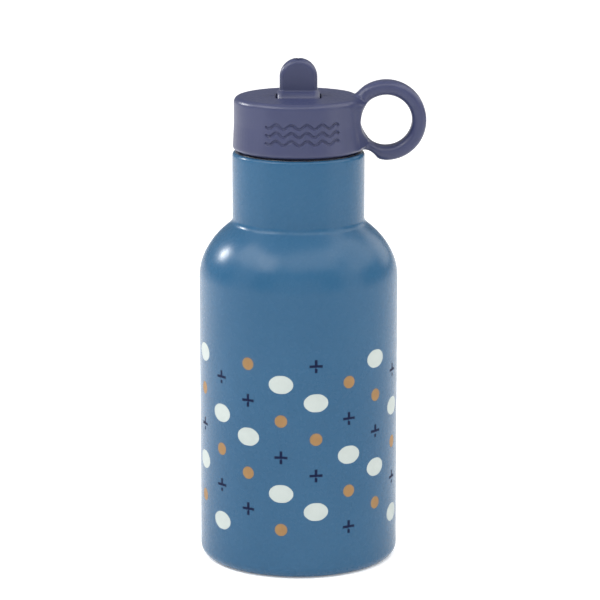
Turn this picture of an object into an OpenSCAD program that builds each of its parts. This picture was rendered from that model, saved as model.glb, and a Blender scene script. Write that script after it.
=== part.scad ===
// Vacuum-insulated water bottle for a child: a painted steel flask with a screw
// lid, a carry ring and a flip-up drinking spout that is fed by a straw.
// Units are millimetres. +Z is up, and the origin is on the bottle's axis, on
// the plane it stands on. The carry ring points along +X, and the spout folds
// back towards +Y.

/* [Body] */
// Outer radius of the body
body_r = 35; // [28:0.5:42]
// Height at which the shoulder starts to curve in
body_h = 101; // [80:1:125]
// Radius of the rounded edge round the base
base_edge_r = 4; // [3:0.5:6]
// Radius of the lower part of the shoulder
shoulder_low_r = 20; // [16:0.5:24]
// Slope reached at the end of the lower part, in degrees
shoulder_low_angle = 26; // [20:1:32]
// Radius of the upper part of the shoulder
shoulder_high_r = 27; // [22:0.5:32]
// Slope at which the shoulder runs into the neck, in degrees
shoulder_angle = 50; // [44:1:56]

/* [Neck] */
// Outer radius of the neck
neck_r = 23.2; // [22:0.1:26]
// Fillet between the shoulder and the neck
neck_fillet_r = 3; // [2:0.5:4]
// Height of the straight neck, fillet to lip
neck_h = 23.4; // [21:0.1:30]
// Width of the rolled lip, from the neck's outside to the inner vessel
lip_w = 1.6; // [1.5:0.1:2]
// Radius of the roll round the lip
lip_roll_r = 1.4; // [1:0.1:1.4]
// Width of the ledge that the lid's sealing ring sits on
ledge_w = 3; // [2.6:0.1:3.2]

/* [Walls] */
// Steel of the outer shell
shell_t = 0.5; // [0.4:0.1:0.8]
// Steel of the inner vessel
vessel_t = 0.4; // [0.3:0.1:0.6]
// Vacuum gap round the body
vacuum_gap = 2.3; // [1.5:0.1:4]
// Height of the inner vessel's underside above the table
vessel_lift = 7; // [6.5:0.5:12]
// Thickness of the outer base plate
base_t = 0.5; // [0.4:0.1:0.8]
// Width of the shell's turned-in edge under the base
base_flange_w = 3; // [2:0.5:4]
// Thickness of the cover disc under the base
cover_t = 0.7; // [0.6:0.1:1]

/* [Thread] */
// Rise of the lid in one full turn
thread_lead = 4; // [3.5:0.5:5]
// Angle over which each thread ridge runs
thread_turn = 400; // [360:10:440]
// Height of the ridge inside the neck
neck_ridge_h = 0.9; // [0.7:0.1:1]
// Height of the ridge on the plug
plug_ridge_h = 1.1; // [0.9:0.1:1.2]
// Width of a ridge at its foot
ridge_w = 1.5; // [1.2:0.1:1.6]

/* [Cap] */
// How much wider the cap's upper part is than the neck, less than nothing if narrower
cap_over = -0.6; // [-1:0.1:1]
// How much wider the cap is at its lower edge
cap_flare = 0.4; // [0:0.05:0.8]
// Height of the cap
cap_h = 18.6; // [18:0.1:24]
// Gap between the neck's lip and the cap
cap_gap = 0.8; // [0.5:0.1:1.5]
// Thickness of the cap's top
cap_top_t = 2; // [1.6:0.1:2.5]
// Thickness of the cap's side wall
cap_wall = 1.95; // [1.6:0.05:2.2]
// Radius of the edge round the cap's top
cap_edge_r = 2; // [1:0.1:2.5]
// Radius of the cap's lower edge
cap_foot_r = 1.2; // [0.6:0.1:1.4]

/* [Carry ring] */
// Radius of the finger hole
ring_hole_r = 9; // [8:0.1:11]
// Width of the ring's band
ring_band = 5; // [4:0.1:6]
// Thickness of the ring, front to back
ring_t = 8; // [6:0.5:10]
// Radius of the ring's edges
ring_edge_r = 2.2; // [1:0.1:2.4]
// How far the finger hole bites into the cap's wall
ring_bite = 1; // [0.8:0.05:1.3]
// Angle round the cap at which its wall starts to run out to the ring
ring_root_angle = 32; // [24:1:36]
// Height of the ring's centre above the middle of the cap
ring_rise = 0.9; // [0:0.1:2]

/* [Spout] */
// Width of the spout
spout_w = 13.2; // [11:0.1:15]
// Thickness of the spout's tongue
spout_t = 6.2; // [5.6:0.1:6.6]
// Radius of the spout's long edges
spout_edge_r = 1.8; // [1:0.1:2.2]
// Distance from the hinge to the tip of the spout
spout_reach = 16.6; // [15:0.1:17]
// Radius of the barrel that the spout turns on
barrel_r = 6.3; // [5.8:0.1:6.6]
// How much wider the barrel is than the spout
barrel_over = 1.8; // [0:0.1:2.4]
// Radius of the barrel's end edges
barrel_end_r = 2.2; // [0.6:0.1:2.4]
// Depth of the hinge below the cap's top
hinge_depth = 3.4; // [3.3:0.1:4]
// Radius of the drinking channel
channel_r = 2; // [1.5:0.1:2.2]
// Radius of the hinge trunnions
trunnion_r = 1.9; // [1.5:0.1:2.2]
// Length of each hinge trunnion
trunnion_l = 2.6; // [2:0.1:3]

/* [Straw and seals] */
// Outer radius of the straw
straw_r = 3.3; // [2.8:0.1:3.6]
// Wall of the straw
straw_t = 0.6; // [0.5:0.1:0.8]
// How far the straw goes up into its socket
straw_grip = 5; // [4:0.5:6]
// Height of the straw's end above the vessel's floor
straw_foot_gap = 6.5; // [6.5:0.5:12]
// Radius of the silicone seal under the spout
seat_r = 4.2; // [3.8:0.1:4.4]
// Height of the lid's sealing ring
lid_seal_h = 1.9; // [1.6:0.1:2.4]

/* [Hidden] */

$fn = 96;
eps = 0.01;

// Clearances
trunnion_clear = 0.05;
barrel_clear = 0.4;
tongue_clear = 0.4;
seat_clear = 0.05;
straw_clear = 0.05;
seal_clear = 0.1;
seal_gap = 0.05;
thread_wall_clear = 0.35;
thread_pass_clear = 0.2;

// Colours
paint_blue = [0.29, 0.45, 0.60];
cap_blue = [0.33, 0.34, 0.48];
steel = [0.75, 0.76, 0.78];
plug_blue = [0.27, 0.28, 0.40];
silicone_white = [0.88, 0.88, 0.86];

// Shoulder: each arc is [centre x, centre z, radius], and the angles are from +X
low_arc = [body_r - shoulder_low_r, body_h, shoulder_low_r];
high_arc = [low_arc[0] - (shoulder_high_r - shoulder_low_r) * cos(shoulder_low_angle),
            low_arc[1] - (shoulder_high_r - shoulder_low_r) * sin(shoulder_low_angle),
            shoulder_high_r];
shoulder_run = (high_arc[0] + shoulder_high_r * cos(shoulder_angle)
                - neck_r - neck_fillet_r * (1 - cos(shoulder_angle))) / sin(shoulder_angle);
fillet_arc = [neck_r + neck_fillet_r,
              high_arc[1] + (shoulder_high_r + neck_fillet_r) * sin(shoulder_angle)
              + shoulder_run * cos(shoulder_angle),
              neck_fillet_r];
neck_foot_z = fillet_arc[1];
neck_top_z = neck_foot_z + neck_h;

// Inner vessel and its neck
vessel_inset = shell_t + vacuum_gap;
vessel_floor_z = vessel_lift + vessel_t;
vessel_edge_r = 6;
vessel_neck_r = neck_r - lip_w;
bore_r = vessel_neck_r - vessel_t;
throat_r = bore_r - ledge_w;
seat_z = neck_top_z - 17.6;

// Thread
plug_r = bore_r - thread_wall_clear - plug_ridge_h;
neck_ridge_z = seat_z + 5;
plug_ridge_drop = 1.8;
ridge_steps = 36;

// Lid heights and widths
cap_r = neck_r + cap_over;
cap_foot_z = neck_top_z + cap_gap;
cap_top_z = cap_foot_z + cap_h;
cap_wall_r = cap_r - cap_wall;
cap_flare_z = cap_foot_z + cap_h / 2;
hinge_z = cap_top_z - hinge_depth;
plug_floor_z = seat_z + lid_seal_h + 2 * seal_gap;
plug_wall = 2;
plug_floor_t = 1.6;
plug_collar_h = 3.4;
spigot_r = throat_r - 1.5;
spigot_wall = 1.8;
spigot_lip = 0.5;
spigot_lip_t = 0.6;

// Spout seat, tower and straw
tip_z = hinge_z + spout_reach;
tip_arc_z = tip_z - spout_w / 2;
tower_top_z = hinge_z - barrel_r - 1;
seat_foot_z = tower_top_z - 3;
seat_top_z = hinge_z - barrel_r + 1.7;
tower_r = seat_r + 1.8;
socket_depth = straw_grip + 0.5;
straw_top_z = plug_floor_z + straw_grip;
straw_foot_z = vessel_floor_z + straw_foot_gap;

// Hinge housing inside the cap
cheek_t = trunnion_l + 0.4;
slot_w = spout_w + 2 * tongue_clear;
barrel_w = spout_w + barrel_over;
pit_w = barrel_w + 2 * tongue_clear;
trough_floor_z = hinge_z - spout_t / 2 - tongue_clear;
trough_t = 1.3;
housing_w = pit_w + 2 * 1.6;
window_w = 0.6;
window_l = 1.5;
scoop_r = 7;

// Carry ring
ring_r = ring_hole_r + ring_band;
ring_x = cap_r - ring_bite + ring_hole_r;
ring_z = cap_foot_z + cap_h / 2 + ring_rise;
ring_root_sink = 0.05;
neck_clear_r = 4.2;
saddle_r = 5;
saddle_z = cap_top_z + saddle_r - ring_root_sink;
saddle_x = ring_x - sqrt(pow(ring_r + saddle_r, 2) - pow(saddle_z - ring_z, 2));
saddle_sink = 0.1;
saddle_bury = 6;
saddle_turn = 90 - asin((saddle_z - ring_z) / (ring_r + saddle_r));

// Base
base_z = shell_t;
base_dome = 1.8;
base_slope = 2.5;
dimple_r = 2.8;
dimple_h = 0.8;
port_r = 1;
cover_r = body_r - base_edge_r - base_flange_w;
base_rim_r = body_r - base_edge_r;

// Vent valve
vent_x = -11;
vent_stem_r = 1.6;
vent_flange_r = 2.8;
vent_bore_r = 0.9;
vent_flange_t = 1.1;
vent_bill_l = 3.2;

// A pie slice of a disc, from the arc's centre, between two angles less than 120 degrees apart
module slice(arc, from, to, grow) {
    r = arc[2] + grow;
    far = 1.1 * r / cos((to - from) / 2);
    translate([arc[0], arc[1]])
        intersection() {
            circle(r = r);
            polygon([[0, 0], [far * cos(from), far * sin(from)], [far * cos(to), far * sin(to)]]);
        }
}

// A point on an arc, moved off it along its radius
function on_arc(arc, angle, grow) = [arc[0] + (arc[2] + grow) * cos(angle),
                                     arc[1] + (arc[2] + grow) * sin(angle)];

// Half outline of the bottle, drawn in by inset all over, from its foot to its top
module bottle_outline(inset, foot_z, edge_r, top_z) {
    side = body_r - inset;
    edge_arc = [side - edge_r, foot_z + edge_r, edge_r];
    difference() {
        union() {
            polygon([
                [0, foot_z],
                [side - edge_r, foot_z],
                [side, foot_z + edge_r],
                [side, body_h],
                on_arc(high_arc, shoulder_low_angle, -inset),
                on_arc(high_arc, shoulder_angle, -inset),
                on_arc(fillet_arc, shoulder_angle + 180, inset),
                on_arc(fillet_arc, 180, inset),
                [neck_r - inset, top_z],
                [0, top_z]
            ]);
            slice(low_arc, 0, shoulder_low_angle, -inset);
            slice(high_arc, shoulder_low_angle, shoulder_angle, -inset);
            slice(edge_arc, -90, 0, 0);
        }
        slice(fillet_arc, 180, shoulder_angle + 180, inset);
    }
}

// A rectangle with round corners, its middle at the origin
module round_rect(w, h, r) {
    for (x = [-1, 1])
        for (y = [-1, 1])
            translate([x * (w / 2 - r), y * (h / 2 - r)])
                circle(r = r);
    square([w - 2 * r, h], center = true);
    square([w, h - 2 * r], center = true);
}

// One thread ridge: a trapezoid swept along a right-hand helix. root_r is sunk into its wall.
module thread_ridge(root_r, tip_r, z) {
    tip_w = ridge_w / 2;
    taper = 30;
    function height(a) = min(1, a / taper, (thread_turn - a) / taper) * 0.98 + 0.02;
    function ring(i) =
        let (a = thread_turn * i / ridge_steps,
             zc = z + thread_lead * a / 360,
             r = root_r + (tip_r - root_r) * height(a))
        [for (p = [[root_r, -ridge_w / 2], [r, -tip_w / 2], [r, tip_w / 2], [root_r, ridge_w / 2]])
            [p[0] * cos(a), p[0] * sin(a), zc + p[1]]];
    points = [for (i = [0 : ridge_steps]) each ring(i)];
    inward = tip_r < root_r;
    faces = [
        for (i = [0 : ridge_steps - 1])
            for (k = [0 : 3])
                let (a = 4 * i + k, b = 4 * i + (k + 1) % 4)
                each [[a, b, b + 4], [a, b + 4, a + 4]],
        [3, 2, 1, 0],
        [for (k = [0 : 3]) 4 * ridge_steps + k]
    ];
    polyhedron(points, [for (f = faces) inward ? [for (k = [len(f) - 1 : -1 : 0]) f[k]] : f]);
}

module outer_shell() {
    color(paint_blue)
        rotate_extrude() {
            lip_arc = [neck_r - lip_roll_r, neck_top_z - lip_roll_r, lip_roll_r];
            difference() {
                bottle_outline(0, 0, base_edge_r, neck_top_z);
                bottle_outline(shell_t, shell_t, base_edge_r - shell_t, neck_top_z - shell_t);
                square([cover_r, 2 * shell_t]);
                translate([0, neck_top_z - 2 * shell_t])
                    square([vessel_neck_r, 3 * shell_t]);
                difference() {
                    translate([lip_arc[0], lip_arc[1]])
                        square(lip_roll_r + 1);
                    slice(lip_arc, 0, 90, 0);
                }
            }
        }
}

module inner_vessel() {
    color(steel) {
        rotate_extrude() {
            difference() {
                union() {
                    bottle_outline(vessel_inset, vessel_lift, vessel_edge_r, seat_z);
                    translate([0, seat_z - vessel_t])
                        square([vessel_neck_r, neck_top_z - seat_z + vessel_t]);
                }
                bottle_outline(vessel_inset + vessel_t, vessel_floor_z, vessel_edge_r - vessel_t,
                               seat_z - vessel_t);
                translate([0, seat_z - 2 * vessel_t])
                    square([throat_r, 3 * vessel_t]);
                translate([0, seat_z])
                    square([bore_r, neck_top_z]);
            }
        }
        thread_ridge(bore_r + vessel_t / 2, bore_r - neck_ridge_h, neck_ridge_z);
    }
}

module outer_base() {
    color(steel)
        rotate_extrude() {
            dome_z = base_z + base_dome;
            dimple_z = dome_z - dimple_h;
            polygon([
                [base_rim_r, base_z],
                [base_rim_r, base_z + base_t],
                [cover_r - 1, base_z + base_t],
                [cover_r - 1 - base_slope, dome_z + base_t],
                [dimple_r + base_t, dome_z + base_t],
                [dimple_r, dimple_z + base_t],
                [port_r, dimple_z + base_t],
                [port_r, dimple_z],
                [dimple_r + base_t / 2, dimple_z],
                [dimple_r + 1.6 * base_t, dome_z],
                [cover_r - 1.5 - base_slope, dome_z],
                [cover_r - 1.5, base_z]
            ]);
        }
}

// The drop of solder glass that closes the port once the air is out
module sealing_bead() {
    color([0.35, 0.35, 0.37])
        rotate_extrude() {
            dimple_z = base_z + base_dome - dimple_h;
            drop_r = dimple_r - 0.6;
            translate([0, dimple_z])
                square([port_r, base_t]);
            intersection() {
                translate([0, dimple_z + drop_r - 0.6])
                    circle(r = drop_r);
                translate([0, dimple_z - drop_r])
                    square([drop_r, drop_r]);
            }
        }
}

// A spot-welded dish that holds the getter under the vessel
module getter_holder() {
    color(steel)
        translate([0, 0, vessel_lift - 2])
            difference() {
                cylinder(r = 5.2, h = 2);
                translate([0, 0, 0.4])
                    cylinder(r = 4.8, h = 2);
                translate([0, 0, -1])
                    cylinder(r = 2.6, h = 2);
            }
}

module getter_pellet() {
    color([0.42, 0.42, 0.44])
        translate([0, 0, vessel_lift - 1.6])
            cylinder(r = 4.4, h = 1.4);
}

// The foam ring that sticks the cover disc on
module base_pad() {
    color([0.92, 0.92, 0.90])
        translate([0, 0, cover_t])
            difference() {
                cylinder(r = cover_r * 0.72, h = base_z + base_dome - cover_t);
                translate([0, 0, -1])
                    cylinder(r = cover_r * 0.36, h = base_dome + 3);
            }
}

module bottom_cover() {
    color(steel)
        rotate_extrude() {
            polygon([
                [0, 0],
                [cover_r - 0.5, 0],
                [cover_r - 0.1, 0.3],
                [cover_r - 0.1, base_z],
                [cover_r - 1.9, base_z],
                [cover_r - 2.1, cover_t],
                [0, cover_t]
            ]);
        }
}

module lid_seal() {
    color(silicone_white)
        translate([0, 0, seat_z + seal_gap])
            rotate_extrude() {
                inner = spigot_r + seal_clear;
                outer = bore_r - neck_ridge_h - thread_pass_clear;
                groove_r = 0.35;
                difference() {
                    translate([inner, 0])
                        square([outer - inner, lid_seal_h]);
                    translate([outer, lid_seal_h / 2])
                        circle(r = groove_r);
                }
            }
}

// Half outline of the cap, full of material
module cap_outline() {
    foot_r = cap_r + cap_flare;
    edge_arc = [cap_r - cap_edge_r, cap_top_z - cap_edge_r, cap_edge_r];
    foot_arc = [foot_r - cap_foot_r, cap_foot_z + cap_foot_r, cap_foot_r];
    polygon([
        [0, cap_foot_z],
        [foot_r - cap_foot_r, cap_foot_z],
        [foot_r, cap_foot_z + cap_foot_r],
        [cap_r, cap_flare_z],
        [cap_r, cap_top_z - cap_edge_r],
        [cap_r - cap_edge_r, cap_top_z],
        [0, cap_top_z]
    ]);
    slice(edge_arc, 0, 90, 0);
    slice(foot_arc, -90, 0, 0);
}

// The ring's own band, round the finger hole
module ring_band_solid() {
    translate([ring_x, 0, ring_z])
        rotate([90, 0, 0])
            rotate_extrude()
                translate([ring_hole_r + ring_band / 2, 0])
                    round_rect(ring_band, ring_t, ring_edge_r);
}

// The hollow curve in which the ring runs down onto the cap's top
module ring_saddle() {
    translate([saddle_x, 0, saddle_z])
        rotate([90, 90, 0])
            rotate_extrude(angle = saddle_turn + saddle_bury)
                translate([saddle_r + ring_band / 2, 0])
                    round_rect(ring_band - 2 * saddle_sink, ring_t - 2 * saddle_sink,
                               ring_edge_r);
}

// The wedge, seen from above, over which the cap's wall runs out to the ring
module ring_root() {
    r = cap_r - ring_root_sink;
    side = [r * cos(ring_root_angle), r * sin(ring_root_angle)];
    half_t = ring_t / 2 - 0.3;
    tip_x = side[0] + (side[1] - half_t) * tan(ring_root_angle);
    foot_z = cap_foot_z + cap_foot_r;
    translate([0, 0, foot_z])
        linear_extrude(height = cap_top_z - cap_edge_r - foot_z)
            polygon([
                [cap_wall_r * cos(ring_root_angle), side[1]],
                side,
                [tip_x, half_t],
                [tip_x, -half_t],
                [side[0], -side[1]],
                [cap_wall_r * cos(ring_root_angle), -side[1]]
            ]);
}

// Space that the ring leaves free beside the neck and inside the cap
module ring_clearance() {
    cylinder(r = cap_wall_r + 0.7, h = cap_top_z);
    translate([0, -ring_t, 0])
        cube([cap_r + 0.65, 2 * ring_t, cap_foot_z]);
    translate([cap_r + 0.65, 0, cap_foot_z - neck_clear_r])
        rotate([90, 0, 0])
            cylinder(r = neck_clear_r, h = 2 * ring_t, center = true);
}

// The walls inside the cap that the spout turns and folds in
module hinge_housing() {
    housing_foot_z = trough_floor_z - trough_t;
    intersection() {
        union() {
            translate([-housing_w / 2, -barrel_r - 2, housing_foot_z])
                cube([housing_w, barrel_r + 2 + cap_r, cap_top_z - cap_top_t / 2 - housing_foot_z]);
            cheek_w = pit_w + 2 * cheek_t;
            translate([-cheek_w / 2, -4.5, housing_foot_z])
                cube([cheek_w, 9, cap_top_z - cap_top_t / 2 - housing_foot_z]);
        }
        cylinder(r = cap_wall_r + 0.5, h = 2 * cap_top_z);
    }
}

// The pit for the barrel, the trough for the folded spout and the holes for its trunnions
module hinge_cuts() {
    bearing_l = pit_w + 2 * (trunnion_l - tongue_clear + 0.2);
    translate([0, 0, hinge_z])
        rotate([0, 90, 0])
            cylinder(r = barrel_r + barrel_clear, h = pit_w, center = true);
    translate([-slot_w / 2, 0, trough_floor_z])
        cube([slot_w, tip_arc_z - hinge_z, cap_top_z]);
    translate([0, tip_arc_z - hinge_z, trough_floor_z])
        cylinder(r = slot_w / 2, h = cap_top_z);
    translate([0, 0, hinge_z])
        rotate([0, 90, 0])
            cylinder(r = trunnion_r + trunnion_clear, h = bearing_l, center = true);
    for (side = [-1, 1])
        translate([side * (pit_w / 2 + trunnion_l / 2), 0, cap_top_z])
            cube([window_l, window_w, 2 * hinge_depth], center = true);
    translate([0, tip_arc_z - hinge_z + slot_w / 2 + 1.5, cap_top_z + scoop_r / 2])
        sphere(r = scoop_r);
}

module lid_cap() {
    color(cap_blue)
        difference() {
            union() {
                difference() {
                    rotate_extrude()
                        cap_outline();
                    translate([0, 0, cap_foot_z - 1])
                        cylinder(r = cap_wall_r, h = cap_h - cap_top_t + 1);
                }
                difference() {
                    union() {
                        ring_band_solid();
                        ring_saddle();
                        ring_root();
                    }
                    ring_clearance();
                }
                hinge_housing();
            }
            hinge_cuts();
            translate([ring_x, 0, ring_z])
                rotate([90, 0, 0])
                    cylinder(r = ring_hole_r, h = 3 * ring_t, center = true);
        }
}

module lid_plug() {
    color(plug_blue)
        difference() {
            union() {
                rotate_extrude() {
                    // Wall, collar and floor
                    translate([plug_r - plug_wall, plug_floor_z])
                        square([plug_wall, cap_foot_z + 1 + plug_collar_h - plug_floor_z]);
                    translate([plug_r - plug_wall, cap_foot_z])
                        square([cap_wall_r - plug_r + plug_wall, plug_collar_h]);
                    translate([0, plug_floor_z])
                        square([plug_r, plug_floor_t]);
                    // Spigot and the lip that keeps the sealing ring on
                    translate([spigot_r - spigot_wall, seat_z - spigot_lip_t])
                        square([spigot_wall, plug_floor_z - seat_z + spigot_lip_t]);
                    translate([spigot_r - spigot_wall, seat_z - 2 * spigot_lip_t])
                        square([spigot_wall + spigot_lip, spigot_lip_t]);
                    // Tower that carries the spout's seal
                    translate([0, plug_floor_z])
                        square([tower_r, tower_top_z - plug_floor_z]);
                }
                thread_ridge(plug_r - plug_wall / 2, plug_r + plug_ridge_h,
                             neck_ridge_z - plug_ridge_drop);
            }
            translate([0, 0, seat_foot_z])
                cylinder(r = seat_r, h = hinge_z - seat_foot_z);
            translate([0, 0, plug_floor_z - 1])
                cylinder(r = channel_r, h = cap_h * 3);
            translate([0, 0, plug_floor_z - 1])
                cylinder(r = straw_r + straw_clear, h = socket_depth + 1);
            translate([vent_x, 0, plug_floor_z - 1])
                cylinder(r = vent_stem_r, h = plug_floor_t + 2);
        }
}

// The insulating foam inside the plug
module foam_ring() {
    color([0.95, 0.95, 0.93])
        translate([0, 0, plug_floor_z + plug_floor_t])
            difference() {
                cylinder(r = plug_r - plug_wall - 0.5, h = tower_top_z - plug_floor_z - 9);
                translate([0, 0, -1])
                    cylinder(r = tower_r + 0.3, h = cap_h * 2);
                translate([vent_x, 0, -1])
                    cylinder(r = vent_flange_r + 0.6, h = cap_h * 2);
            }
}

module spout_seal() {
    color(silicone_white)
        difference() {
            translate([0, 0, seat_foot_z])
                cylinder(r = seat_r, h = seat_top_z - seat_foot_z);
            translate([0, 0, hinge_z])
                rotate([0, 90, 0])
                    cylinder(r = barrel_r + seat_clear, h = 2 * seat_r + 2, center = true);
            translate([0, 0, seat_foot_z - 1])
                cylinder(r = channel_r, h = barrel_r + 2);
        }
}

// A duckbill valve that lets air in as the drink goes out
module vent_valve() {
    color(silicone_white)
        translate([vent_x, 0, 0])
            difference() {
                union() {
                    translate([0, 0, plug_floor_z - vent_flange_t])
                        cylinder(r = vent_flange_r, h = vent_flange_t);
                    translate([0, 0, plug_floor_z - eps])
                        cylinder(r = vent_stem_r, h = plug_floor_t + 2 * eps);
                    translate([0, 0, plug_floor_z + plug_floor_t])
                        cylinder(r1 = vent_flange_r - 0.3, r2 = vent_stem_r, h = vent_flange_t);
                    intersection() {
                        translate([0, 0, plug_floor_z - vent_flange_t - vent_bill_l])
                            cylinder(r = vent_stem_r + 0.4, h = vent_bill_l);
                        translate([0, 0, plug_floor_z - vent_flange_t - vent_bill_l])
                            rotate([90, 0, 90])
                                linear_extrude(height = 4 * vent_flange_r, center = true)
                                    polygon([
                                        [-0.45, 0],
                                        [0.45, 0],
                                        [vent_flange_r, vent_bill_l],
                                        [-vent_flange_r, vent_bill_l]
                                    ]);
                    }
                }
                translate([0, 0, plug_floor_z - vent_flange_t - vent_bill_l / 2])
                    cylinder(r = vent_bore_r, h = plug_floor_t + 2 * vent_flange_t + vent_bill_l);
            }
}

module spout() {
    color(cap_blue)
        difference() {
            union() {
                translate([0, 0, hinge_z])
                    linear_extrude(height = tip_arc_z - hinge_z)
                        round_rect(spout_w, spout_t, spout_edge_r);
                translate([0, 0, tip_arc_z])
                    rotate([90, 0, 0])
                        rotate_extrude(angle = 180)
                            intersection() {
                                round_rect(spout_w, spout_t, spout_edge_r);
                                translate([0, -spout_t])
                                    square([spout_w, 2 * spout_t]);
                            }
                translate([0, 0, hinge_z])
                    rotate([0, 90, 0])
                        rotate_extrude()
                            intersection() {
                                round_rect(2 * barrel_r, barrel_w, barrel_end_r);
                                translate([0, -barrel_w])
                                    square([barrel_r, 2 * barrel_w]);
                            }
                translate([0, 0, hinge_z])
                    rotate([0, 90, 0])
                        cylinder(r = trunnion_r, h = barrel_w + 2 * trunnion_l, center = true);
            }
            translate([0, 0, hinge_z - barrel_r - 1])
                cylinder(r = channel_r, h = spout_reach + barrel_r + 2);
        }
}

module straw() {
    color([0.93, 0.95, 0.96])
        translate([0, 0, straw_foot_z])
            difference() {
                cylinder(r = straw_r, h = straw_top_z - straw_foot_z);
                translate([0, 0, -1])
                    cylinder(r = straw_r - straw_t, h = straw_top_z - straw_foot_z + 2);
                // Two notches let the drink in when the end stands on the floor
                for (turn = [0, 90])
                    rotate([0, 0, turn])
                        translate([-straw_r - 1, -1, -1])
                            cube([2 * straw_r + 2, 2, 3]);
            }
}

outer_shell();
inner_vessel();
outer_base();
sealing_bead();
getter_holder();
getter_pellet();
base_pad();
bottom_cover();
lid_seal();
lid_cap();
lid_plug();
foam_ring();
spout_seal();
vent_valve();
spout();
straw();
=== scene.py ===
import math
import bpy
from mathutils import Matrix, Vector


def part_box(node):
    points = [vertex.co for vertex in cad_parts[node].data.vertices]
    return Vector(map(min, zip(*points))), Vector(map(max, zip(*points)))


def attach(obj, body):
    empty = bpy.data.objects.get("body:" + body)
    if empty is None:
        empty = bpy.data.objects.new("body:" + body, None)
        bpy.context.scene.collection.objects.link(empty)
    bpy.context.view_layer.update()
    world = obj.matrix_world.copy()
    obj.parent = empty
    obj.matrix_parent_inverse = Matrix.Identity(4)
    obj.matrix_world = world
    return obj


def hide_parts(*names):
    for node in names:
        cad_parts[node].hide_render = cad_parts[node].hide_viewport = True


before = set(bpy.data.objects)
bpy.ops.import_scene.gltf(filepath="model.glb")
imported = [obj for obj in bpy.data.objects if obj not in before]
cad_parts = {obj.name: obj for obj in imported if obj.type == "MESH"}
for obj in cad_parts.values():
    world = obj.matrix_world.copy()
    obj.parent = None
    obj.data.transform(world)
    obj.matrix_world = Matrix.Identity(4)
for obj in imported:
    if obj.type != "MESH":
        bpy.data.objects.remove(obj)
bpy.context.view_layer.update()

# A child's vacuum bottle: the painted flask, its printed pattern and the
# moulded lid and spout. Sizes below are in millimetres, and MM turns them into
# metres. The carry ring points along +X, and the front looks along -Y.

MM = 0.001
MERGE = 1e-6

# Flask
body_r = 35.0
body_h = 101.0
base_edge_r = 4.0
base_flange_w = 3.0
shell_t = 0.5
shoulder_low_r = 20.0
shoulder_low_angle = 26.0
shoulder_high_r = 27.0
shoulder_angle = 50.0
neck_r = 23.2
neck_fillet_r = 3.0
neck_top_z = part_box("outer_shell")[1].z / MM
lip_roll_r = 1.4
lip_w = 1.6
lip_edge_drop = 0.12
lip_steel_drop = 0.06

# Print
ink_sink = 0.03
ink_proud = 0.012
strip_w = 1.2
print_turn = 120.0
print_columns = 6
print_rows = 5
print_foot_z = 18.0
print_pitch = 13.0
oval_size = (8.6, 6.4)
cross_size = 4.6
cross_stroke = 0.95
dot_size = 4.4

# Lid and spout
cap_top_z = 165.216
cap_h = 18.6
cap_foot_z = cap_top_z - cap_h
cap_r = 22.6
cap_flare = 0.4
cap_foot_r = 1.2
groove_w = 0.95
groove_sink = 0.2
groove_x = 1.6
groove_z = 152.0
groove_rows = 3
groove_pitch = 2.8
groove_span = 27.0
groove_swing = 0.75
groove_waves = 5
groove_steps = 80
groove_voxel = 0.12
ring_creases = [(22.4, 163.6), (26.4, 145.6)]
ring_crease_reach = 5.0
ring_foot_at = (26.5, 0, 146.5)
ring_foot_size = (2.1, 2.6, 1.5)
ring_root_passes = 240
cap_voxel = 0.22
cap_passes = 3
cap_triangles = 190000
spout_voxel = 0.18
spout_passes = 4
spout_triangles = 120000


# ---------------------------------------------------------------- shaping


def let_go():
    """Object mode with nothing selected."""
    if bpy.context.object and bpy.context.object.mode != "OBJECT":
        bpy.ops.object.mode_set(mode="OBJECT")
    bpy.ops.object.select_all(action="DESELECT")


def pick(piece):
    """That piece alone is selected and active."""
    let_go()
    piece.select_set(True)
    bpy.context.view_layer.objects.active = piece


def edit(piece):
    """Edit mode on a piece, with all of it selected."""
    pick(piece)
    bpy.ops.object.mode_set(mode="EDIT")
    bpy.ops.mesh.select_all(action="SELECT")


def lone_point(name, at):
    """A new piece that is one vertex, in edit mode, ready to extrude."""
    let_go()
    bpy.ops.mesh.primitive_plane_add(size=MM)
    piece = bpy.context.object
    piece.name = piece.data.name = name
    bpy.ops.object.mode_set(mode="EDIT")
    bpy.ops.mesh.merge(type="CENTER")
    bpy.ops.transform.translate(value=at)
    return piece


def draw_outline(points):
    """Extrudes the selected vertex along a list of points."""
    for a, b in zip(points, points[1:]):
        step = (Vector(b) - Vector(a)) * MM
        bpy.ops.mesh.extrude_vertices_move(TRANSFORM_OT_translate={"value": step})


def arc(x, z, r, start, end, steps):
    """Points on an arc in the half outline, angles in degrees from +X."""
    turns = [math.radians(start + (end - start) * i / steps) for i in range(steps + 1)]
    return [(x + r * math.cos(a), 0, z + r * math.sin(a)) for a in turns]


def lathe(name, outline, steps=256):
    """A turned piece: the half outline is drawn and spun round the bottle's axis."""
    piece = lone_point(name, Vector(outline[0]) * MM)
    draw_outline(outline)
    bpy.ops.mesh.select_all(action="SELECT")
    bpy.ops.mesh.remove_doubles(threshold=MERGE)
    bpy.ops.mesh.spin(steps=steps, angle=math.tau, center=(0, 0, 0), axis=(0, 0, 1))
    bpy.ops.mesh.select_all(action="SELECT")
    bpy.ops.mesh.remove_doubles(threshold=MERGE)
    bpy.ops.mesh.normals_make_consistent(inside=False)
    bpy.ops.object.mode_set(mode="OBJECT")
    return piece


def smooth(piece, angle=40):
    pick(piece)
    bpy.ops.object.shade_smooth_by_angle(angle=math.radians(angle))


def modify(piece, kind, **settings):
    """Adds a modifier and applies it."""
    pick(piece)
    mod = piece.modifiers.new(kind.lower(), kind)
    for key, value in settings.items():
        setattr(mod, key, value)
    bpy.ops.object.modifier_apply(modifier=mod.name)


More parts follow.
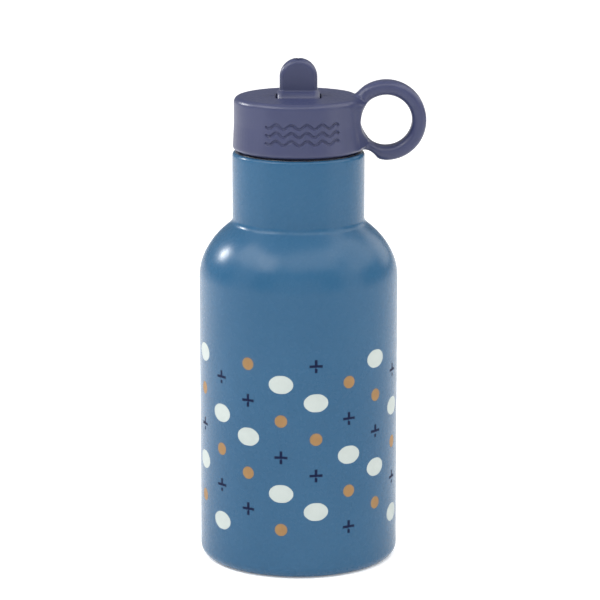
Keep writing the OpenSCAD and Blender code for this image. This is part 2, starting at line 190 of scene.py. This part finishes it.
def carve(piece, tool):
    """Takes the tool's shape out of the piece."""
    modify(piece, "BOOLEAN", operation="DIFFERENCE", solver="EXACT", object=tool)
    bpy.data.objects.remove(tool)


def copy_of(source, name):
    """A copy with its own mesh."""
    piece = bpy.data.objects.new(name, source.data.copy())
    piece.data.name = name
    bpy.context.scene.collection.objects.link(piece)
    return piece


def joined(name, parts):
    """Several pieces made one."""
    pick(parts[0])
    for part in parts:
        part.select_set(True)
    bpy.ops.object.join()
    piece = bpy.context.object
    piece.name = piece.data.name = name
    return piece


def coat(piece, material):
    """Gives a piece that finish all over."""
    piece.data.materials.clear()
    piece.data.materials.append(material)


# ---------------------------------------------------------------- materials


def to_linear(rgb):
    """Screen colour, 0 to 255, as the linear colour that a shader takes."""
    out = []
    for c in rgb:
        c = c / 255
        out.append(c / 12.92 if c <= 0.04045 else ((c + 0.055) / 1.055) ** 2.4)
    return (*out, 1)


class Finish:
    """A surface finish built up on a Principled shader."""

    def __init__(self, name, **sockets):
        self.material = bpy.data.materials.new(name)
        self.material.use_nodes = True
        self.nodes = self.material.node_tree.nodes
        self.links = self.material.node_tree.links
        self.shader = self.nodes["Principled BSDF"]
        for key, value in sockets.items():
            self.shader.inputs[key.replace("_", " ")].default_value = value
        self.place = self.nodes.new("ShaderNodeTexCoord").outputs["Object"]
        self.height = None

    def add(self, kind, **inputs):
        node = self.nodes.new(kind)
        for key, value in inputs.items():
            socket = node.inputs[key.replace("_", " ")]
            if isinstance(value, bpy.types.NodeSocket):
                self.links.new(value, socket)
            else:
                socket.default_value = value
        return node

    def stretched(self, scale):
        """The place on the piece, squeezed or stretched by a factor on each axis."""
        return self.add("ShaderNodeMapping", Vector=self.place, Scale=scale).outputs["Vector"]

    def speckle(self, scale, detail=2.0, place=None):
        """Noise from 0 to 1. Scale is in grains per metre."""
        node = self.add("ShaderNodeTexNoise", Vector=place or self.place, Scale=scale,
                        Detail=detail, Roughness=0.55)
        return node.outputs["Fac"]

    def cells(self, scale, place=None):
        node = self.add("ShaderNodeTexVoronoi", Vector=place or self.place, Scale=scale)
        return node.outputs["Distance"]

    def spread(self, value, low, high, start=0.3, end=0.7):
        """A 0 to 1 pattern turned into a range of values."""
        node = self.add("ShaderNodeMapRange", Value=value)
        node.inputs["From Min"].default_value = start
        node.inputs["From Max"].default_value = end
        node.inputs["To Min"].default_value = low
        node.inputs["To Max"].default_value = high
        return node.outputs["Result"]

    def tones(self, value, dark, light, start=0.3, end=0.7):
        """Base colour that wanders between two tones."""
        ramp = self.add("ShaderNodeValToRGB", Fac=value)
        ramp.color_ramp.elements[0].position = start
        ramp.color_ramp.elements[0].color = to_linear(dark)
        ramp.color_ramp.elements[1].position = end
        ramp.color_ramp.elements[1].color = to_linear(light)
        self.links.new(ramp.outputs["Color"], self.shader.inputs["Base Color"])

    def roughness(self, value, low, high):
        self.links.new(self.spread(value, low, high), self.shader.inputs["Roughness"])

    def bump(self, value, depth):
        """Relief of that depth in millimetres, on top of any relief before it."""
        node = self.add("ShaderNodeBump", Height=value, Strength=1.0, Distance=depth * MM)
        if self.height is not None:
            self.links.new(self.height, node.inputs["Normal"])
        self.height = node.outputs["Normal"]
        self.links.new(self.height, self.shader.inputs["Normal"])

    def turned_marks(self, spacing):
        """Rings round the bottle's axis, as a lathe or a spinning brush leaves them."""
        flat = self.add("ShaderNodeVectorMath", Vector=self.stretched((1, 1, 0)))
        flat.operation = "LENGTH"
        parts = self.add("ShaderNodeSeparateXYZ", Vector=self.place)
        both = self.add("ShaderNodeCombineXYZ", X=flat.outputs["Value"], Y=parts.outputs["Z"])
        return self.speckle(1 / (spacing * MM), 3.0, both.outputs["Vector"])


def satin_paint():
    f = Finish("satin_paint", Specular_IOR_Level=0.22)
    f.tones(f.speckle(28), (37, 78, 109), (40, 81, 112))
    f.roughness(f.speckle(420), 0.24, 0.3)
    f.bump(f.speckle(760), 0.002)
    f.bump(f.speckle(5200, 1.0), 0.0005)
    return f.material


def bare_steel():
    f = Finish("bare_steel", Metallic=1.0)
    marks = f.turned_marks(0.09)
    f.tones(marks, (176, 178, 182), (206, 207, 208))
    f.roughness(marks, 0.22, 0.38)
    f.bump(marks, 0.004)
    return f.material


def moulded_lid():
    f = Finish("moulded_lid", Specular_IOR_Level=0.4)
    f.tones(f.speckle(60), (45, 50, 80), (48, 53, 84))
    f.roughness(f.speckle(900), 0.32, 0.4)
    f.bump(f.speckle(3600, 2.0), 0.004)
    f.bump(f.speckle(160, 1.0), 0.01)
    return f.material


def ink(name, dark, light, rough=0.5):
    f = Finish(name, Specular_IOR_Level=0.15)
    f.tones(f.speckle(300, 4.0), dark, light)
    f.roughness(f.speckle(1500), rough - 0.06, rough + 0.06)
    f.bump(f.speckle(2600, 3.0), 0.004)
    return f.material


def moulded_plug():
    f = Finish("moulded_plug", Specular_IOR_Level=0.35)
    f.tones(f.speckle(60), (44, 49, 78), (48, 53, 83))
    f.roughness(f.speckle(900), 0.45, 0.55)
    f.bump(f.speckle(2200), 0.004)
    return f.material


def soft_silicone():
    f = Finish("soft_silicone", Subsurface_Weight=0.2, Subsurface_Scale=0.0015)
    f.tones(f.speckle(120), (220, 220, 214), (232, 232, 226))
    f.roughness(f.speckle(700), 0.5, 0.62)
    f.bump(f.speckle(3000), 0.003)
    return f.material


def closed_foam():
    f = Finish("closed_foam", Specular_IOR_Level=0.2)
    cells = f.cells(1500)
    f.tones(cells, (205, 204, 196), (242, 241, 236), 0.05, 0.6)
    f.roughness(f.speckle(600), 0.82, 0.95)
    f.bump(cells, 0.12)
    return f.material


def straw_plastic():
    f = Finish("straw_plastic", Transmission_Weight=0.55, IOR=1.49)
    f.tones(f.speckle(90), (226, 231, 235), (240, 244, 247))
    f.roughness(f.speckle(500), 0.22, 0.34)
    drawn = f.speckle(900, 2.0, f.stretched((1, 1, 0.03)))
    f.bump(drawn, 0.006)
    return f.material


def solder_glass():
    f = Finish("solder_glass", Specular_IOR_Level=0.6)
    f.tones(f.speckle(700), (58, 58, 62), (84, 84, 88))
    f.roughness(f.speckle(900), 0.1, 0.24)
    f.bump(f.speckle(800), 0.03)
    return f.material


def getter_metal():
    f = Finish("getter_metal", Metallic=0.7)
    f.tones(f.speckle(1600, 4.0), (92, 92, 96), (124, 123, 124))
    f.roughness(f.speckle(1100), 0.55, 0.75)
    f.bump(f.speckle(2400, 3.0), 0.02)
    return f.material


# ---------------------------------------------------------------- the flask


def flask_outline():
    """Half outline of the outer shell: out over the base, up, in at the neck and back inside."""
    low = (body_r - shoulder_low_r, body_h)
    back = shoulder_high_r - shoulder_low_r
    turn = math.radians(shoulder_low_angle)
    high = (low[0] - back * math.cos(turn), low[1] - back * math.sin(turn))
    end = math.radians(shoulder_angle)
    run = high[0] + shoulder_high_r * math.cos(end) - neck_r
    run = (run - neck_fillet_r * (1 - math.cos(end))) / math.sin(end)
    fillet_z = high[1] + (shoulder_high_r + neck_fillet_r) * math.sin(end) + run * math.cos(end)
    fillet = (neck_r + neck_fillet_r, fillet_z)

    def side(inset, bend):
        """One face of the wall, from the base's edge to the top of the neck."""
        edge = base_edge_r - inset
        return [
            *arc(body_r - base_edge_r, base_edge_r, edge, -90, 0, bend),
            *[(body_r - inset, 0, body_h * i / 6) for i in range(1, 6)],
            *arc(*low, shoulder_low_r - inset, 0, shoulder_low_angle, bend),
            *arc(*high, shoulder_high_r - inset, shoulder_low_angle, shoulder_angle, bend)[1:],
            *arc(*fillet, neck_fillet_r + inset, shoulder_angle + 180, 180, bend),
            *[(neck_r - inset, 0, fillet_z + (neck_top_z - fillet_z - 3) * i / 3)
              for i in (1, 2, 3)],
        ]

    rim_r = body_r - base_edge_r - base_flange_w
    bead = (neck_r - lip_roll_r, neck_top_z - lip_roll_r)
    outside = [(rim_r, 0, 0), *side(0, 14), *arc(*bead, lip_roll_r, 0, 90, 14)]
    inside = [
        (neck_r - lip_w, 0, neck_top_z - lip_edge_drop),
        (neck_r - lip_w, 0, neck_top_z - shell_t),
        *arc(*bead, lip_roll_r - shell_t, 90, 0, 8),
        *reversed(side(shell_t, 6)),
        (rim_r, 0, shell_t),
    ]
    return outside + inside + [outside[0]]


def make_flask(paint, steel):
    flask = lathe("flask_shell", flask_outline())
    flask.data.materials.append(paint)
    flask.data.materials.append(steel)
    rim_r = (body_r - base_edge_r + 0.05) * MM
    skin = (body_r - shell_t / 2) * MM
    for face in flask.data.polygons:
        c = face.center
        r = math.hypot(c.x, c.y)
        under = r < rim_r and c.z < base_edge_r * MM
        lip = c.z > (neck_top_z - lip_steel_drop) * MM
        inner = face.normal.x * c.x + face.normal.y * c.y < 0 and r < skin
        face.material_index = 1 if under or lip or inner else 0
    smooth(flask)
    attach(flask, "bottle")
    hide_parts("outer_shell")


# ---------------------------------------------------------------- the print


def flat_shape(name, outlines, corners=()):
    """Filled outlines drawn flat: x runs round the body, z up it. Points are smooth,
    apart from those whose third value is 1, which are sharp."""
    curve = bpy.data.curves.new(name, "CURVE")
    curve.dimensions = "2D"
    curve.fill_mode = "BOTH"
    curve.resolution_u = 6
    for outline in outlines:
        spline = curve.splines.new("BEZIER")
        spline.bezier_points.add(len(outline) - 1)
        spline.use_cyclic_u = True
        for point, spot in zip(spline.bezier_points, outline):
            point.co = (spot[0] * MM, spot[1] * MM, 0)
            kind = "VECTOR" if len(spot) > 2 else "AUTO"
            point.handle_left_type = point.handle_right_type = kind
    shape = bpy.data.objects.new(name, curve)
    bpy.context.scene.collection.objects.link(shape)
    pick(shape)
    bpy.ops.object.convert(target="MESH")
    shape = bpy.context.object
    shape.data.name = name
    return shape


def wrap(shape):
    """Cuts a flat shape into upright strips and lays it round the body as a film of ink."""
    xs = [v.co.x for v in shape.data.vertices]
    edit(shape)
    bpy.ops.mesh.remove_doubles(threshold=MERGE)
    x = math.ceil(min(xs) / (strip_w * MM)) * strip_w * MM
    while x < max(xs):
        bpy.ops.mesh.select_all(action="SELECT")
        bpy.ops.mesh.bisect(plane_co=(x, 0, 0), plane_no=(1, 0, 0))
        x += strip_w * MM
    bpy.ops.mesh.select_all(action="SELECT")
    bpy.ops.mesh.quads_convert_to_tris()
    bpy.ops.object.mode_set(mode="OBJECT")
    r = (body_r - ink_sink) * MM
    for v in shape.data.vertices:
        a = v.co.x / (body_r * MM)
        v.co = (r * math.sin(a), -r * math.cos(a), v.co.y)
    edit(shape)
    bpy.ops.mesh.normals_make_consistent(inside=False)
    bpy.ops.object.mode_set(mode="OBJECT")
    outward = sum(f.normal.x * f.center.x + f.normal.y * f.center.y for f in shape.data.polygons)
    if outward < 0:
        edit(shape)
        bpy.ops.mesh.flip_normals()
        bpy.ops.object.mode_set(mode="OBJECT")
    modify(shape, "SOLIDIFY", thickness=(ink_sink + ink_proud) * MM, offset=1.0)
    return shape


def oval(x, z, wide, high):
    turns = [math.tau * i / 8 for i in range(8)]
    return [(x + wide / 2 * math.cos(a), z + high / 2 * math.sin(a)) for a in turns]


def cross(x, z, size, stroke):
    """A plus sign with square ends."""
    far, near = size / 2, stroke / 2
    corners = [(-near, -far), (near, -far), (near, -near), (far, -near), (far, near),
               (near, near), (near, far), (-near, far), (-near, near), (-far, near),
               (-far, -near), (-near, -near)]
    return [(x + px, z + pz, 1) for px, pz in corners]


def round_body(angle):
    """Distance along the body from the front, for an angle round the axis."""
    return math.radians(angle) * body_r


def pattern():
    """One third of the print: staggered rows of ovals, crosses and dots."""
    cream, navy, ochre = [], [], []
    for column in range(print_columns):
        x = round_body(print_turn * ((column + 0.5) / print_columns - 0.5))
        for row in range(print_rows):
            z = print_foot_z + print_pitch * (row + column % 2 / 2)
            kind = (row + column) % 3
            if kind == 0:
                cream.append(oval(x, z, *oval_size))
            elif kind == 1:
                navy.append(cross(x, z, cross_size, cross_stroke))
            else:
                ochre.append(oval(x, z, dot_size, dot_size))
    return cream, navy, ochre


def lift_off(shape, amount):
    """Puts a later ink over an earlier one."""
    for v in shape.data.vertices:
        r = math.hypot(v.co.x, v.co.y)
        if r > body_r * MM:
            v.co.x *= 1 + amount * MM / r
            v.co.y *= 1 + amount * MM / r


def make_print(inks):
    turns = (-print_turn, 0, print_turn)
    names = ("print_cream", "print_ochre", "print_navy")
    cream, navy, ochre = pattern()
    for layer, (name, shapes) in enumerate(zip(names, (cream, ochre, navy))):
        films = [wrap(flat_shape(name, [outline])) for outline in shapes]
        film = joined(name, films)
        lift_off(film, layer * ink_proud / 3)
        repeats = [film]
        for turn in turns:
            if turn:
                again = copy_of(film, name)
                again.data.transform(Matrix.Rotation(math.radians(turn), 4, "Z"))
                repeats.append(again)
        film = joined(name, repeats)
        coat(film, inks[name])
        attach(film, "bottle")


# ---------------------------------------------------------------- the lid


def fitted_copy(node, name):
    """A merged copy of a fitted solid, to be shaped further."""
    piece = copy_of(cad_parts[node], name)
    edit(piece)
    bpy.ops.mesh.remove_doubles(threshold=MERGE)
    bpy.ops.object.mode_set(mode="OBJECT")
    return piece


def ease(piece, weigh, passes):
    """Smooths part of a piece. weigh gives each place, in millimetres, a weight of 0 to 1."""
    group = piece.vertex_groups.new(name="eased")
    for v in piece.data.vertices:
        weight = weigh(v.co / MM)
        if weight > 0:
            group.add([v.index], weight, "REPLACE")
    modify(piece, "SMOOTH", factor=0.5, iterations=passes, vertex_group="eased")
    piece.vertex_groups.clear()


def moulded_edges(piece, voxel, passes):
    """Gives every edge the small radius that a mould leaves."""
    modify(piece, "REMESH", mode="VOXEL", voxel_size=voxel * MM)
    modify(piece, "SMOOTH", factor=0.5, iterations=passes)


def thin_out(piece, most):
    triangles = sum(len(f.vertices) - 2 for f in piece.data.polygons)
    if triangles > most:
        modify(piece, "DECIMATE", ratio=most / triangles)
    smooth(piece, 60)


def cap_wall_at(z):
    """Radius of the cap's outside at a height."""
    low = cap_foot_z + cap_foot_r
    mid = cap_foot_z + cap_h / 2
    return cap_r + cap_flare * min(1, max(0, (mid - z) / (mid - low)))


def groove_lines():
    """Rows of plain waves, as lines on the cap's front."""
    steps = [i / groove_steps - 0.5 for i in range(groove_steps + 1)]
    wave = [(groove_span * t, groove_swing * math.sin(math.tau * groove_waves * t)) for t in steps]
    return [[(groove_x + x, groove_z + groove_pitch * row + z) for x, z in wave]
            for row in range(groove_rows)]


def groove_cutter():
    """Round bars laid along the groove lines on the cap's wall, made one body."""
    rods = []
    for line in groove_lines():
        path = bpy.data.curves.new("groove", "CURVE")
        path.dimensions = "3D"
        path.bevel_depth = groove_w / 2 * MM
        path.bevel_resolution = 3
        path.use_fill_caps = True
        spline = path.splines.new("POLY")
        spline.points.add(len(line) - 1)
        for point, (x, z) in zip(spline.points, line):
            point.co = (x * MM, 0, z * MM, 1)
        rod = bpy.data.objects.new("groove", path)
        bpy.context.scene.collection.objects.link(rod)
        pick(rod)
        bpy.ops.object.convert(target="MESH")
        rods.append(bpy.context.object)
    cutter = joined("groove", rods)
    modify(cutter, "REMESH", mode="VOXEL", voxel_size=groove_voxel * MM)
    for v in cutter.data.vertices:
        r = (cap_wall_at(v.co.z / MM) - groove_sink) * MM - v.co.y
        a = v.co.x / (cap_r * MM)
        v.co = (r * math.sin(a), -r * math.cos(a), v.co.z)
    return cutter


def ring_root(p):
    """Weight of the place where the carry ring grows out of the cap."""
    near = min(math.dist((p.x, p.z), crease) for crease in ring_creases)
    return max(0, min(1, 2 - 2 * near / ring_crease_reach))


def ring_foot():
    """A round of plastic that fills the corner under the carry ring's lower root."""
    let_go()
    bpy.ops.mesh.primitive_uv_sphere_add(
        segments=40, ring_count=24, radius=MM, scale=ring_foot_size,
        location=Vector(ring_foot_at) * MM)
    bpy.ops.object.transform_apply(location=True, rotation=True, scale=True)
    return bpy.context.object


def make_lid(plastic):
    cap = fitted_copy("lid_cap", "lid_moulding")
    carve(cap, groove_cutter())
    cap = joined("lid_moulding", [cap, ring_foot()])
    moulded_edges(cap, cap_voxel, cap_passes)
    ease(cap, ring_root, ring_root_passes)
    thin_out(cap, cap_triangles)
    coat(cap, plastic)
    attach(cap, "lid")
    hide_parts("lid_cap")


def make_spout(plastic):
    tongue = fitted_copy("spout", "spout_moulding")
    moulded_edges(tongue, spout_voxel, spout_passes)
    thin_out(tongue, spout_triangles)
    coat(tongue, plastic)
    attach(tongue, "spout")
    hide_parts("spout")


# ---------------------------------------------------------------- studio


def soft_light(name, at, aim, size, watts, colour):
    lamp = bpy.data.lights.new(name, "AREA")
    lamp.shape = "RECTANGLE"
    lamp.size, lamp.size_y = size
    lamp.energy = watts
    lamp.color = colour
    holder = bpy.data.objects.new(name, lamp)
    bpy.context.scene.collection.objects.link(holder)
    holder.location = at
    holder.rotation_euler = (Vector(aim) - Vector(at)).to_track_quat("-Z", "Y").to_euler()


def make_studio():
    scene = bpy.context.scene
    scene.view_settings.view_transform = "Standard"
    world = bpy.data.worlds.new("pale_room")
    world.use_nodes = True
    world.node_tree.nodes["Background"].inputs["Color"].default_value = (1, 1, 1, 1)
    world.node_tree.nodes["Background"].inputs["Strength"].default_value = 0.25
    scene.world = world

    let_go()
    bpy.ops.mesh.primitive_plane_add(size=8)
    floor = bpy.context.object
    floor.name = floor.data.name = "pale_floor"
    f = Finish("pale_floor", Roughness=0.9, Specular_IOR_Level=0.1,
               Emission_Color=(1, 1, 1, 1))
    # Painted light: the floor glows by itself, dimmest near the bottle and brighter further out,
    # and this glow also lights the bottle from below.
    away = f.nodes.new("ShaderNodeVectorMath")
    away.operation = "LENGTH"
    f.links.new(f.place, away.inputs[0])
    painted_floor_glow = f.spread(away.outputs["Value"], 0.22, 0.8, 0.3, 1.6)
    f.links.new(painted_floor_glow, f.shader.inputs["Emission Strength"])
    f.tones(f.speckle(4), (246, 246, 246), (250, 250, 250))
    f.bump(f.speckle(60), 0.05)
    floor.data.materials.append(f.material)

    body = (0, 0, 0.09)
    shoulder = (0, 0, 0.12)
    floor_below = (0, -0.1, 0)
    white = (1, 1, 1)
    warm = (1.0, 0.98, 0.96)
    lights = [
        ("front_wall", (0, -2.2, 0.55), shoulder, (2.4, 0.9), 6.8, white),
        ("left_box", (-0.9, -0.35, 0.36), body, (0.5, 0.8), 1.3, white),
        ("right_box", (0.9, -0.4, 0.34), body, (0.5, 0.8), 1.9, warm),
        ("front_left_window", (-0.42, -0.36, 0.66), shoulder, (0.34, 0.3), 2.2, white),
        ("left_top_window", (-0.68, -0.06, 0.78), shoulder, (0.4, 0.4), 2.6, white),
        ("front_top_box", (0.2, -0.52, 0.88), shoulder, (1.0, 0.5), 4.2, warm),
        ("right_top_box", (0.76, 0.08, 0.82), shoulder, (0.8, 0.8), 5.0, warm),
        ("right_back_box", (0.72, 0.72, 0.44), shoulder, (0.5, 0.5), 1.4, warm),
        ("back_left_strip", (-0.62, 0.31, 0.42), shoulder, (0.07, 0.12), 2.6, white),
        ("top_box", (0, -0.1, 1.3), floor_below, (2.0, 2.6), 9, white),
    ]
    for light in lights:
        soft_light(*light)

    lens = bpy.data.cameras.new("camera")
    lens.sensor_width = 36
    lens.lens = 177.08
    camera = bpy.data.objects.new("camera", lens)
    scene.collection.objects.link(camera)
    camera.location = (0.000522, -1.0196, 0.3185)
    camera.rotation_euler = (math.radians(77.492), 0, 0)
    scene.camera = camera


# ---------------------------------------------------------------- assembly


steel = bare_steel()
plastic = moulded_lid()
inner_plastic = moulded_plug()
silicone = soft_silicone()
inks = {
    "print_cream": ink("cream_ink", (167, 175, 172), (172, 180, 177)),
    "print_navy": ink("navy_ink", (0, 12, 46), (1, 15, 51), 0.7),
    "print_ochre": ink("ochre_ink", (135, 104, 68), (142, 110, 73)),
}

make_flask(satin_paint(), steel)
make_print(inks)
make_lid(plastic)
make_spout(plastic)

node_finishes = {
    "inner_vessel": steel,
    "outer_base": steel,
    "bottom_cover": steel,
    "getter_holder": steel,
    "sealing_bead": solder_glass(),
    "getter_pellet": getter_metal(),
    "base_pad": closed_foam(),
    "foam_ring": closed_foam(),
    "lid_plug": inner_plastic,
    "lid_seal": silicone,
    "spout_seal": silicone,
    "vent_valve": silicone,
    "straw": straw_plastic(),
}
for name, material in node_finishes.items():
    coat(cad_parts[name], material)

make_studio()
